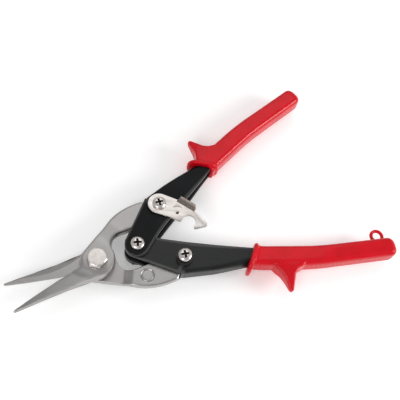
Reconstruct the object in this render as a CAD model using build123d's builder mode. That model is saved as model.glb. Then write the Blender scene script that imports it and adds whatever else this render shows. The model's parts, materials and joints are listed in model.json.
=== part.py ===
from build123d import *
import os
from math import asin, cos, degrees, radians, sin, sqrt

# Compound-action aviation snips, straight cut, in millimetres.
# Frame: the main pivot's axis is Z and stands at the origin, the handles run towards +X, and Z = 0 is
# the plane that the tool lies on, which is the bottom face of the pivot nut. The tool is drawn open.
# Both jaws are one shape turned over about the X axis, and so are the handles but for their grips' lines.

# ---- linkage ---------------------------------------------------------------------------------------
tail_arm = 52.3            # main pivot to the pin in either handle
handle_arm = 29.7          # handle hinge to that same pin
open_angle = 40.0          # half angle between the handle arms, tool open
tail_angle = degrees(asin(handle_arm / tail_arm * sin(radians(open_angle))))
pin_x = tail_arm * cos(radians(tail_angle))
pin_y = tail_arm * sin(radians(tail_angle))
hinge_x = pin_x - handle_arm * cos(radians(open_angle))

# ---- stack heights, counted from the shear plane between the blades ----------------------------------
hub_t = 6.2                # thickness of each jaw at the pivot
blade_gap = 0.08           # each blade's inner face stands this far off the shear plane
pivot_washer_t = 0.8
pivot_nut_t = 4.5
shear_z = hub_t + pivot_washer_t + pivot_nut_t

sheet_t = 1.9              # handle steel
lower_in = 3.6             # half the inside width of the lower handle's channel
lower_out = lower_in + sheet_t
upper_in = lower_out + 0.2                        # the upper handle straddles the lower one
upper_out = upper_in + sheet_t
grip_out = 5.2             # half the outside width of either channel inside its grip
tail_top = 2.0             # faces of a tail, positive on its own jaw's side of the shear plane
tail_bottom = -3.0

# ---- fasteners and bushes ---------------------------------------------------------------------------
pivot_r = 3.0
hex_across = 11.0
hex_head_t = 5.0
pivot_washer_r = 7.0
screw_r = 2.5
screw_head_r = 4.3
screw_head_t = 2.4
nut_across = 8.0
nut_t = 3.6
bush_r = 3.4
spacer_r = 4.9
running_fit = 0.05         # radial
link_slack = 0.45          # radial, at the one pin where the linkage is opened
side_play = 0.1            # along the axis, between parts that turn against each other

# ---- latch ------------------------------------------------------------------------------------------
latch_t = 1.7
latch_washer_t = 0.5
latch_bottom = upper_out + latch_washer_t + side_play
latch_angle = -56.4        # direction from the latch screw to its hook slot, tool open
slot_reach = 22.0          # distance between the two link pins when the tool is latched shut
post_r = 4.0
collar_r = 4.9             # the post's foot, below the latch
slot_r = post_r + 0.25
post_top = latch_bottom + latch_t + 0.2

# ---- planes: x along the piece, y outward from the tool's middle, z away from the shear plane ---------
def handle_plane(side):
    """Plane at the handle hinge, x towards the handle's pin. Side is 1 for the upper, -1 for the lower."""
    along = (cos(radians(open_angle)), side * sin(radians(open_angle)), 0)
    return Plane(origin=(hinge_x, 0, shear_z), x_dir=along, z_dir=(0, 0, side))


def upright(base, direction=0.0):
    """Upright plane through base's origin, x turned by direction degrees from base's x, y along its z."""
    along = base.x_dir * cos(radians(direction)) + base.y_dir * sin(radians(direction))
    return Plane(origin=base.origin, x_dir=along, z_dir=along.cross(base.z_dir))


def save(piece, name):
    piece.label = name
    export_step(piece, f"parts/{name}.step")


os.makedirs("parts", exist_ok=True)

upper_plane = handle_plane(1)
lower_plane = handle_plane(-1)
hinge_axis = Plane(origin=(hinge_x, 0, shear_z))
upper_pin_axis = Plane(origin=(pin_x, pin_y, shear_z))
lower_pin_axis = Plane(origin=(pin_x, -pin_y, shear_z))
main_axis = Plane(origin=(0, 0, shear_z))

# ---- jaws -------------------------------------------------------------------------------------------
hub_r = 10.6
shoulder_angle = 121.0     # where the tail's outer edge runs into the round hub
tail_r = 7.2               # round end about the handle's pin
tail_edge = 12.4           # the tail's outer edge beside the pin; its end face meets the handle's web
hollow_x = 11.4            # front of the hollow that clears the handles' noses
joggle_angle = 29.0        # direction of the tail's joggle
inner_joggle = (16.9, 21.9)    # its start and end on the shear side
outer_joggle = (12.0, 26.5)    # and on the outside, a longer slope
rim = 1.0                  # height of the bevel round the hub's outer face
rim_taper = 42.0
back_y = -9.9
edge_land = 0.9            # height of the cutting edge's own ground land

# Blade stations: distance from the pivot, cutting edge, limit of the inner land, crease, crease height.
blade_stations = [
    (1.0, 3.6, -6.3, -9.6, 5.7),
    (-12.6, 1.1, -6.2, -9.4, 5.2),
    (-26.0, -1.3, -5.7, -9.2, 4.5),
    (-41.0, -4.9, -7.4, -9.2, 3.6),
    (-54.5, -8.6, -9.2, -9.6, 1.8),
]


def jaw_outline():
    """Face of a jaw's hub and tail in plan; the tail ends round about its pin, behind a stop face."""
    pin = Vector(pin_x, pin_y)
    across = Vector(0, 1).rotate(Axis.Z, open_angle)
    shoulder = Vector(hub_r, 0).rotate(Axis.Z, shoulder_angle)
    with BuildSketch() as outline:
        with BuildLine():
            outer = ThreePointArc(pin + across * tail_edge, (25.5, 25.4), (13.6, 21.5))
            TangentArc(outer @ 1, shoulder, tangent=outer % 1)
            hub = ThreePointArc(shoulder, (-hub_r, 0), (0, -hub_r))
            hub_side = TangentArc(hub @ 1, (hollow_x, 1.0), tangent=hub % 1)
            hollow_side = Line(hub_side @ 1, (hollow_x, 4.6))
            hollow = TangentArc(hollow_side @ 1, (19.5, 13.0), tangent=(0, 1))
            Line(hollow @ 1, pin - (0, tail_r))
            ThreePointArc(pin - (0, tail_r), pin + (tail_r, 0), pin + across * tail_r)
            Line(pin + across * tail_r, pin + across * tail_edge)
        make_face()
    return outline.sketch


with BuildPart() as jaw_blank:
    with BuildSketch(Plane.XY.offset(tail_bottom)):
        add(jaw_outline())
    extrude(amount=hub_t - rim - tail_bottom)
    with BuildSketch(Plane.XY.offset(hub_t - rim)):
        add(jaw_outline())
    extrude(amount=rim, taper=rim_taper)
    with BuildSketch(upright(Plane.XY, joggle_angle)):
        Polygon((-40, blade_gap), (inner_joggle[0], blade_gap), (inner_joggle[1], tail_bottom),
                (80, tail_bottom), (80, tail_top), (outer_joggle[1], tail_top),
                (outer_joggle[0], hub_t), (-40, hub_t), align=None)
    extrude(amount=80, both=True, mode=Mode.INTERSECT)
    for x, edge, land, crease, height in blade_stations:
        with BuildSketch(Plane.YZ.offset(x)):
            Polygon((edge, blade_gap), (edge, edge_land), (crease, height), (back_y, height - 0.7),
                    (back_y, 0.9), (land, blade_gap), align=None)
    loft(ruled=True)


def jaw(name, turn, hole_r, pin_hole_r):
    """One jaw from the blank, turned about the X axis by turn degrees, with its two holes."""
    with BuildPart() as body:
        with Locations(Location((0, 0, shear_z), (turn, 0, 0))):
            add(jaw_blank.part)
            with Locations((0, 0, hub_t)):
                Hole(hole_r, depth=hub_t)
            with Locations((pin_x, pin_y, tail_top)):
                Hole(pin_hole_r, depth=tail_top - tail_bottom)
    save(body.part, name)
    return body.part


front_blade = jaw("front_blade", 0, pivot_r + running_fit, bush_r + link_slack)
rear_blade = jaw("rear_blade", 180, pivot_r, bush_r + running_fit)

# ---- handles ----------------------------------------------------------------------------------------
nose_r = 7.8
web_start = handle_arm + 0.5   # the web begins just past the tail's end face, which it stops
web_edge = 9.9             # the handle's outer edge there
neck = (44.0, 62.0)        # between these the channel narrows to its width inside the grip
handle_end = 148.0
grip_start = (71.0, -14.2)
grip_bend = (110.0, -26.6)
grip_end = (154.1, -46.3)
core_half = 5.1            # half the channel's width inside the grip, seen in plan
upper_shift = 1.1          # the two grips are pressed on a little outward and inward of that line
lower_shift = -0.5


def grip_line(offset):
    """Corners of a line in plan that follows the grip, offset outward, from the flange to the core's end."""
    slope = (grip_end[1] - grip_bend[1]) / (grip_end[0] - grip_bend[0])
    core_end = (handle_end, grip_bend[1] + slope * (handle_end - grip_bend[0]))
    return [(x, y + offset) for x, y in (grip_start, grip_bend, core_end)]


def handle_envelope(plane, out, shift):
    """The handle with its channel filled in, which is also the shape that its grip is dipped over."""
    inner_line = grip_line(shift - core_half)
    outer_line = grip_line(shift + core_half)
    with BuildPart() as envelope:
        with BuildSketch(plane.offset(-out)):
            with BuildLine():
                nose = ThreePointArc((0, nose_r), (-nose_r, 0), (0, -nose_r))
                inner = Polyline(nose @ 1, (13, -8.4), (27, -10.6), (46, -14.2), *inner_line)
                outer = Polyline(nose @ 0, (10, 8.4), (web_start, web_edge), (50, 1.4), *outer_line)
                Line(inner @ 1, outer @ 1)
            make_face()
        extrude(amount=2 * out)
        with BuildSketch(upright(plane)):
            Polygon((-20, out), (neck[0], out), (neck[1], grip_out), (200, grip_out),
                    (200, -grip_out), (neck[1], -grip_out), (neck[0], -out), (-20, -out), align=None)
        extrude(amount=100, both=True, mode=Mode.INTERSECT)
    return envelope.part


def handle(name, plane, envelope, shift, inside, hinge_hole_r):
    """A pressed channel, open towards the other handle, with a web along its outer edge."""
    inner_half = grip_out - sheet_t
    web_line = grip_line(shift + core_half - sheet_t)
    with BuildPart() as cavity:
        with BuildSketch(plane.offset(-inside)):
            Polygon((-20, -90), (-20, 30), (web_start, 30), (web_start, web_edge - sheet_t),
                    (50, 1.4 - sheet_t), *web_line, (200, -60), (200, -90), align=None)
        extrude(amount=2 * inside)
        with BuildSketch(upright(plane)):
            Polygon((-20, inside), (neck[0], inside), (neck[1], inner_half), (200, inner_half),
                    (200, -inner_half), (neck[1], -inner_half), (neck[0], -inside), (-20, -inside), align=None)
        extrude(amount=100, both=True, mode=Mode.INTERSECT)
    with BuildPart() as body:
        add(envelope)
        add(cavity.part, mode=Mode.SUBTRACT)
        with BuildSketch(plane.offset(-upper_out)):
            Circle(hinge_hole_r)
            with Locations((handle_arm, 0)):
                Circle(screw_r)
        extrude(amount=2 * upper_out, mode=Mode.SUBTRACT)
    save(body.part, name)
    return body.part


upper_envelope = handle_envelope(upper_plane, upper_out, upper_shift)
lower_envelope = handle_envelope(lower_plane, lower_out, lower_shift)
upper_handle = handle("upper_handle", upper_plane, upper_envelope, upper_shift, upper_in, screw_r)
lower_handle = handle("lower_handle", lower_plane, lower_envelope, lower_shift, lower_in,
                      bush_r + running_fit)

# ---- grips ------------------------------------------------------------------------------------------
grip_half = 6.5            # half the grip's width in plan
grip_half_t = 6.5          # half its thickness
grip_edge_r = 2.0
flange_at = (70.6, -13.4)
flange_size = (21.0, 16.2)
flange_r = 7.6
flange_t = 3.0
upper_lean = 12.0          # each flange's outer side leans forward by this angle
lower_lean = 3.0
horn_tip_upper = (85.8, 3.5)   # middle of the horn's round tip, in the handle's plane
horn_tip_lower = (98.7, -1.3)
horn_tip_r = 1.3
horn_half_t = (5.6, 2.6)       # half thickness at the foot and at the tip
loop_at = (147.0, -54.05)
loop_r = 5.0
loop_hole_r = 2.5
loop_half_t = 1.6


def grip(name, plane, envelope, shift, lean, tip, has_loop):
    """A dipped grip: bar with a bend, flange at its front, thumb horn, and on one grip a loop to hang it by."""
    spine = [(x, y + shift) for x, y in (grip_start, grip_bend, grip_end)]
    facing = plane.x_dir * cos(radians(lean)) + plane.y_dir * sin(radians(lean))
    front = Plane(origin=plane.from_local_coords((flange_at[0], flange_at[1] + shift, 0)),
                  x_dir=plane.z_dir, z_dir=facing)
    tip_plane = Plane(origin=plane.from_local_coords((*tip, 0)), x_dir=plane.x_dir, z_dir=plane.z_dir)
    tip_section = Plane(origin=tip_plane.origin, x_dir=plane.y_dir, z_dir=plane.x_dir)

    with BuildPart() as fin:
        with BuildSketch(tip_plane):
            with BuildLine():
                hollow = ThreePointArc((-13.8, -9.5), (-8.6, -8.2), (-5.2, -4.6))
                Line(hollow @ 1, (-1.0, 0.8))
                ThreePointArc((-1.0, 0.8), (0.5, 1.2), (horn_tip_r, 0))
                Line((horn_tip_r, 0), (-0.4, -9.5))
                back = ThreePointArc((-0.4, -9.5), (0.6, -13.3), (3.6, -16.4))
                Polyline(back @ 1, (3.6, -20), (-13.8, -15), hollow @ 0)
            make_face()
        extrude(amount=grip_half_t, both=True)
        with BuildSketch(tip_section):
            foot, top = horn_half_t
            Polygon((-30, foot), (-11, foot), (2, top), (2, -top), (-11, -foot), (-30, -foot), align=None)
        extrude(amount=30, both=True, mode=Mode.INTERSECT)

    with BuildPart() as body:
        with BuildSketch(plane.offset(-grip_half_t)):
            with BuildLine():
                FilletPolyline(*spine, radius=60)
                offset(amount=grip_half)
            make_face()
        extrude(amount=2 * grip_half_t)
        faces_up = body.edges().group_by(Axis.Z)
        fillet(faces_up[0] + faces_up[-1], radius=grip_edge_r)
        split(bisect_by=front, keep=Keep.TOP)
        add(fin.part)
        if has_loop:
            with BuildSketch(plane.offset(-loop_half_t)):
                with Locations(loop_at):
                    Circle(loop_r)
                    Circle(loop_hole_r, mode=Mode.SUBTRACT)
            extrude(amount=2 * loop_half_t)
        with BuildSketch(front.offset(-flange_t / 2)):
            RectangleRounded(flange_size[1], flange_size[0], radius=flange_r)
        extrude(amount=flange_t)
        add(envelope, mode=Mode.SUBTRACT)
    save(body.part, name)
    return body.part


upper_grip = grip("upper_grip", upper_plane, upper_envelope, upper_shift, upper_lean, horn_tip_upper, False)
lower_grip = grip("lower_grip", lower_plane, lower_envelope, lower_shift, lower_lean, horn_tip_lower, True)

# ---- fasteners, bushes and spacers ------------------------------------------------------------------
phillips = (4.8, 1.1)      # length and width of each arm of the cross recess
phillips_depth = 1.7
hex_chamfer = 0.8          # measured inward from a hexagon's corners


def pan_screw(name, axis, nut_face, head_face):
    """Cross-recessed pan head screw; both faces are heights from the shear plane."""
    with BuildPart() as body:
        with BuildSketch(axis.offset(nut_face)):
            Circle(screw_r)
        extrude(amount=head_face - nut_face)
        with BuildSketch(axis.offset(head_face)):
            Circle(screw_head_r)
        extrude(amount=screw_head_t)
        fillet(body.edges().group_by(Axis.Z)[-1], radius=1.4)
        with BuildSketch(axis.offset(head_face + screw_head_t)):
            Rectangle(*phillips, rotation=20)
            Rectangle(*phillips, rotation=110)
        extrude(amount=-phillips_depth, mode=Mode.SUBTRACT)
    save(body.part, name)


def hexagon(axis, bottom, height, across, bore_r):
    """Hexagon with a hole through it and the corners of both faces chamfered by turning."""
    with BuildPart() as body:
        with BuildSketch(axis.offset(bottom)):
            Circle(across / sqrt(3))
        extrude(amount=height)
        rims = body.edges().group_by(Axis.Z)
        chamfer(rims[0] + rims[-1], length=0.45, length2=hex_chamfer)
        with BuildSketch(axis.offset(bottom)):
            RegularPolygon(across / 2, 6, major_radius=False, rotation=23)
            Circle(bore_r, mode=Mode.SUBTRACT)
        extrude(amount=height, mode=Mode.INTERSECT)
    return body.part


def ring(name, axis, bottom, top, inner_r, outer_r):
    """Plain bush, washer or collar between two heights."""
    with BuildPart() as body:
        with BuildSketch(axis.offset(bottom)):
            Circle(outer_r)
            Circle(inner_r, mode=Mode.SUBTRACT)
        extrude(amount=top - bottom)
    save(body.part, name)


bolt_top = hub_t + side_play + hex_head_t
with BuildPart() as pivot_bolt:
    with BuildSketch(main_axis.offset(-shear_z)):
        Circle(pivot_r)
    extrude(amount=shear_z + bolt_top)
    add(hexagon(main_axis, bolt_top - hex_head_t, hex_head_t, hex_across, pivot_r))
save(pivot_bolt.part, "pivot_bolt")

ring("pivot_washer", main_axis, -hub_t - pivot_washer_t, -hub_t, pivot_r, pivot_washer_r)
save(hexagon(main_axis, -shear_z, pivot_nut_t, hex_across, pivot_r), "pivot_nut")

pan_screw("hinge_screw", hinge_axis, -upper_out - nut_t, upper_out)
save(hexagon(hinge_axis, -upper_out - nut_t, nut_t, nut_across, screw_r), "hinge_nut")
ring("hinge_bush", hinge_axis, -upper_in, upper_in, screw_r, bush_r)

latch_top = latch_bottom + latch_t
pan_screw("latch_screw", upper_pin_axis, -upper_out - nut_t, latch_top + side_play)
save(hexagon(upper_pin_axis, -upper_out - nut_t, nut_t, nut_across, screw_r), "latch_screw_nut")
ring("upper_link_bush", upper_pin_axis, -upper_in, upper_in, screw_r, bush_r)
ring("upper_front_spacer", upper_pin_axis, tail_top + side_play, upper_in, bush_r, spacer_r)
ring("upper_rear_spacer", upper_pin_axis, -upper_in, tail_bottom - side_play, bush_r, spacer_r)
ring("latch_washer", upper_pin_axis, upper_out, upper_out + latch_washer_t, screw_r, spacer_r)

pan_screw("lower_link_screw", lower_pin_axis, -lower_out - nut_t, post_top)
save(hexagon(lower_pin_axis, -lower_out - nut_t, nut_t, nut_across, screw_r), "lower_link_nut")
ring("lower_link_bush", lower_pin_axis, -lower_in, lower_in, screw_r, bush_r)
ring("lower_front_spacer", lower_pin_axis, -tail_bottom + side_play, lower_in, bush_r, spacer_r)
ring("lower_rear_spacer", lower_pin_axis, -lower_in, -tail_top - side_play, bush_r, spacer_r)

with BuildPart() as latch_post:
    with BuildSketch(lower_pin_axis.offset(lower_out)):
        Circle(collar_r)
    extrude(amount=latch_bottom - 0.3 - lower_out)
    with BuildSketch(lower_pin_axis.offset(lower_out)):
        Circle(post_r)
    extrude(amount=post_top - lower_out)
    with Locations(Location(lower_pin_axis.offset(post_top).location)):
        Hole(screw_r, depth=post_top - lower_out)
save(latch_post.part, "latch_post")

# ---- return spring ----------------------------------------------------------------------------------
wire_r = 0.6
coil_r = 5.0
coil_half = 2.7            # height of each leg above or below the shear plane
leg_end = (60.0, -6.4)     # each leg's tip bears on the inside of its handle's web
coil_turns = 3 + (360 - 2 * (90 - open_angle)) / 360

with BuildPart() as hinge_spring:
    coil_start = Plane(origin=(hinge_x, 0, shear_z - coil_half), z_dir=(0, 0, 1),
                       x_dir=(sin(radians(open_angle)), cos(radians(open_angle)), 0))
    with BuildLine(coil_start) as coil:
        Helix(pitch=2 * coil_half / coil_turns, height=2 * coil_half, radius=coil_r)
    with BuildSketch(Plane(origin=coil.line @ 0, z_dir=coil.line % 0)):
        Circle(wire_r)
    sweep(path=coil.line)
    for plane in (lower_plane, upper_plane):
        leg_plane = plane.offset(coil_half)
        foot = leg_plane.from_local_coords((0, -coil_r, 0))
        tip = leg_plane.from_local_coords((*leg_end, 0))
        with BuildSketch(Plane(origin=foot, z_dir=tip - foot)):
            Circle(wire_r)
        extrude(amount=(tip - foot).length)
save(hinge_spring.part, "hinge_spring")

# ---- latch ------------------------------------------------------------------------------------------
latch_head_r = 7.0
tab_height = 3.2           # above the plate
latch_plane = Plane(origin=(pin_x, pin_y, shear_z + latch_bottom), z_dir=(0, 0, 1),
                    x_dir=(cos(radians(latch_angle)), sin(radians(latch_angle)), 0))

with BuildPart() as latch:
    with BuildSketch(latch_plane):
        with BuildLine():
            head_top = Vector(latch_head_r, 0).rotate(Axis.Z, 95)
            head_bottom = Vector(latch_head_r, 0).rotate(Axis.Z, -80)
            back = Polyline(head_top, (8.0, 8.6), (22.5, 8.9), (31.6, 5.2))
            nose = ThreePointArc(back @ 1, (32.7, 4.2), (32.6, 2.8))
            tip = Line(nose @ 1, (28.0, -2.2))
            slot_side = ThreePointArc(tip @ 1, (26.9, -2.2), (slot_reach + slot_r, -1.2))
            Line(slot_side @ 1, (slot_reach + slot_r, 0))
            slot = ThreePointArc((slot_reach + slot_r, 0), (slot_reach, slot_r), (slot_reach - slot_r, 0))
            Polyline(slot @ 1, (slot_reach - slot_r, -2.6), (16.6, -3.4), (12.5, -3.7), head_bottom)
            ThreePointArc(head_bottom, (-latch_head_r, 0), head_top)
        make_face()
        Circle(screw_r + running_fit, mode=Mode.SUBTRACT)
        with Locations((12.8, 0.9)):
            Circle(1.1, mode=Mode.SUBTRACT)
    extrude(amount=latch_t)
    tab_plane = Plane(origin=latch_plane.from_local_coords((0, 8.8, 0)), x_dir=latch_plane.x_dir,
                      z_dir=-latch_plane.y_dir)
    with BuildSketch(tab_plane):
        Polygon((8.0, 0), (9.4, latch_t + tab_height), (20.0, latch_t + tab_height),
                (21.8, latch_t + tab_height - 1.6), (21.8, 0), align=None)
    extrude(amount=latch_t)
save(latch.part, "latch")
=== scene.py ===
import json
from math import cos, hypot, pi, radians, sin, sqrt

import bmesh
import bpy
import numpy as np
from mathutils import Matrix, Vector
from mathutils.geometry import delaunay_2d_cdt


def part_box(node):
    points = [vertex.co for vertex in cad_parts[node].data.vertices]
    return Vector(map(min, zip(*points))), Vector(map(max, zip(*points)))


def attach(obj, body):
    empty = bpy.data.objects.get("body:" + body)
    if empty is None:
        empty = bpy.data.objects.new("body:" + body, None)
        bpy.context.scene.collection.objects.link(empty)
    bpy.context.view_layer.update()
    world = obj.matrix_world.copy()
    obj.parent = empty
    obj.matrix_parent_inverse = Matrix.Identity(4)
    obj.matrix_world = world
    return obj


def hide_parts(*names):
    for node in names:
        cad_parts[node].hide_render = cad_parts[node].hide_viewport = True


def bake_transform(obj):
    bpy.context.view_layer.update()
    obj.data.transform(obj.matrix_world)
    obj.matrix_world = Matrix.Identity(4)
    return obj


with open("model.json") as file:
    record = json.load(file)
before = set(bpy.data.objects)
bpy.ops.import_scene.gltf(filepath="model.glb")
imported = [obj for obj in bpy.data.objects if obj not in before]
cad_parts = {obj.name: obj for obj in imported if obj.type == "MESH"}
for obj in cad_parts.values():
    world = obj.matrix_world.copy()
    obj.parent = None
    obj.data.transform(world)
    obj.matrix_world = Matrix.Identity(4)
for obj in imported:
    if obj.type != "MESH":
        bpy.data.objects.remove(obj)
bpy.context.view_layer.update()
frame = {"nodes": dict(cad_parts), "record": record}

# Lengths are millimetres from the main pivot in the shear plane between the blades, but the camera's
# distance, the lights and the floor are in metres. Each jaw and each handle is built as the upper one, and
# the other is turned over about the X axis. In a handle's own plane x runs from the hinge to the link pin,
# and y points outward.
MM = 0.001
OPEN_ANGLE = 40.0
STEP = 0.7                     # between the points of a curve


def middle(node):
    """The middle of a CAD node's box."""
    low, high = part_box(node)
    return (low + high) / 2 / MM


HINGE = middle("hinge_bush")
PIN = middle("upper_link_bush")
SHEAR_Z = HINGE.z              # over the floor, as in the CAD frame
HANDLE_ARM = (PIN - HINGE).length


# ---- camera ------------------------------------------------------------------------------------------
def look(target, distance, azimuth, elevation, roll, lens):
    """Camera that looks at target; azimuth 0 looks along +Y, roll turns the camera anticlockwise."""
    a, e, r = radians(azimuth), radians(elevation), radians(roll)
    back = Vector((sin(a) * cos(e), -cos(a) * cos(e), sin(e)))
    right = Vector((cos(a), sin(a), 0))
    up = back.cross(right)
    level = Matrix((right, up, back)).transposed()
    camera = bpy.data.objects.new("camera", bpy.data.cameras.new("camera"))
    bpy.context.scene.collection.objects.link(camera)
    camera.data.lens = lens
    camera.data.clip_start = 0.01
    turned = level @ Matrix.Rotation(r, 3, "Z")
    camera.matrix_world = Matrix.Translation(target + back * distance) @ turned.to_4x4()
    bpy.context.scene.camera = camera


look(Vector((77.0, 15.7, SHEAR_Z)) * MM, distance=0.400, azimuth=-38.3, elevation=61.2, roll=14.1, lens=55.2)


# ---- mesh helpers ------------------------------------------------------------------------------------
def on_side(side):
    """Places what is built in millimetres for the upper side (1) or, turned over, for the lower side (-1)."""
    turn = Matrix.Rotation(pi, 4, "X") if side < 0 else Matrix.Identity(4)
    return Matrix.Translation((0, 0, SHEAR_Z * MM)) @ turn @ Matrix.Scale(MM, 4)


def on_handle(side):
    """The same for what is built in a handle's own plane."""
    arm = Matrix.Rotation(radians(OPEN_ANGLE), 4, "Z")
    return on_side(side) @ Matrix.Translation((HINGE.x, 0, 0)) @ arm


def make(name, points, faces, place):
    """A mesh object from points and faces, with its normals outward, placed by a matrix."""
    mesh = bpy.data.meshes.new(name)
    mesh.from_pydata([tuple(p) for p in points], [], [tuple(f) for f in faces])
    mesh.transform(place)
    edit = bmesh.new()
    edit.from_mesh(mesh)
    bmesh.ops.recalc_face_normals(edit, faces=edit.faces)
    edit.to_mesh(mesh)
    edit.free()
    thing = bpy.data.objects.new(name, mesh)
    bpy.context.scene.collection.objects.link(thing)
    return thing


def settle(thing, angle=32):
    """Turns the object's modifiers into its mesh, and shades it smooth except at edges over the angle."""
    graph = bpy.context.evaluated_depsgraph_get()
    mesh = bpy.data.meshes.new_from_object(thing.evaluated_get(graph))
    thing.modifiers.clear()
    thing.data = mesh
    mesh.polygons.foreach_set("use_smooth", [True] * len(mesh.polygons))
    if angle < 180:
        mesh.set_sharp_from_angle(angle=radians(angle))


def bevel(thing, width, angle=40, segments=2):
    """Adds a modifier that rounds the edges over the angle."""
    modifier = thing.modifiers.new("bevel", "BEVEL")
    modifier.width = width * MM
    modifier.segments = segments
    modifier.limit_method = "ANGLE"
    modifier.angle_limit = radians(angle)
    return modifier


def cut(thing, tools, operation="DIFFERENCE"):
    """Cuts the tools away from thing, or joins them to it, and removes them."""
    for tool in tools:
        modifier = thing.modifiers.new("cut", "BOOLEAN")
        modifier.operation = operation
        modifier.solver = "EXACT"
        modifier.object = tool
        settle(thing)
        bpy.data.objects.remove(tool)


def loops(rows, closed_ends=True):
    """Points and faces of a solid whose cross-sections are rows of points, one closed loop each."""
    count = len(rows[0])
    points = [p for row in rows for p in row]
    faces = []
    for near in range(0, (len(rows) - 1) * count, count):
        far = near + count
        for i in range(count):
            after = (i + 1) % count
            faces.append((near + i, near + after, far + after, far + i))
    if closed_ends:
        faces.append(range(count))
        faces.append(range((len(rows) - 1) * count, len(rows) * count))
    return points, faces


def turned(name, profile, centre, place, segments=48):
    """A turned solid from (radius, height) steps, standing on centre."""
    rows = [[(centre[0] + r * cos(2 * pi * i / segments), centre[1] + r * sin(2 * pi * i / segments), z)
             for i in range(segments)] for r, z in profile]
    return make(name, *loops(rows), place)


def rounded(half_x, half_y, radius, steps=5):
    """Loop of (x, y) points round a rectangle with rounded corners."""
    corners = [(1, 1, 0), (-1, 1, 90), (-1, -1, 180), (1, -1, 270)]
    return [(sx * (half_x - radius) + radius * cos(radians(start + 90 * i / steps)),
             sy * (half_y - radius) + radius * sin(radians(start + 90 * i / steps)))
            for sx, sy, start in corners for i in range(steps + 1)]


def eased(points, window):
    """The line through (x, y) points as a function of x, its corners rounded over the window."""
    xs, ys = zip(*points)
    return lambda x: float(np.mean(np.interp(x + np.linspace(-window, window, 11), xs, ys)))


def arc(centre, radius, start, end, step=STEP):
    """Points on an arc from start to end degrees."""
    count = max(2, int(abs(radians(end - start)) * radius / step))
    angles = np.radians(np.linspace(start, end, count + 1))
    return [(centre[0] + radius * cos(a), centre[1] + radius * sin(a)) for a in angles]


def hermite(a, a_way, b, b_way, step=STEP):
    """Points on a smooth curve from a to b that leaves and arrives in the given directions."""
    a, b = np.array(a), np.array(b)
    size = np.linalg.norm(b - a)
    ways = [np.array(w) / np.linalg.norm(w) * size for w in (a_way, b_way)]
    t = np.linspace(0, 1, max(3, int(size / step)) + 1)[:, None]
    curve = ((2 * t**3 - 3 * t**2 + 1) * a + (t**3 - 2 * t**2 + t) * ways[0]
             + (3 * t**2 - 2 * t**3) * b + (t**3 - t**2) * ways[1])
    return [tuple(p) for p in curve]


def spread(a, b, step=STEP):
    """Points along a straight line."""
    count = max(1, int(hypot(b[0] - a[0], b[1] - a[1]) / step))
    return [tuple(p) for p in np.linspace(a, b, count + 1)]


def show(thing, body, slot, *nodes, finish=None):
    """Lets the finished piece ride on a body in the place of CAD nodes, with its slot's finish or another."""
    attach(thing, body)
    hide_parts(*nodes)
    thing.data.materials.clear()
    thing.data.materials.append(finishes[finish or slot])


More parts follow.
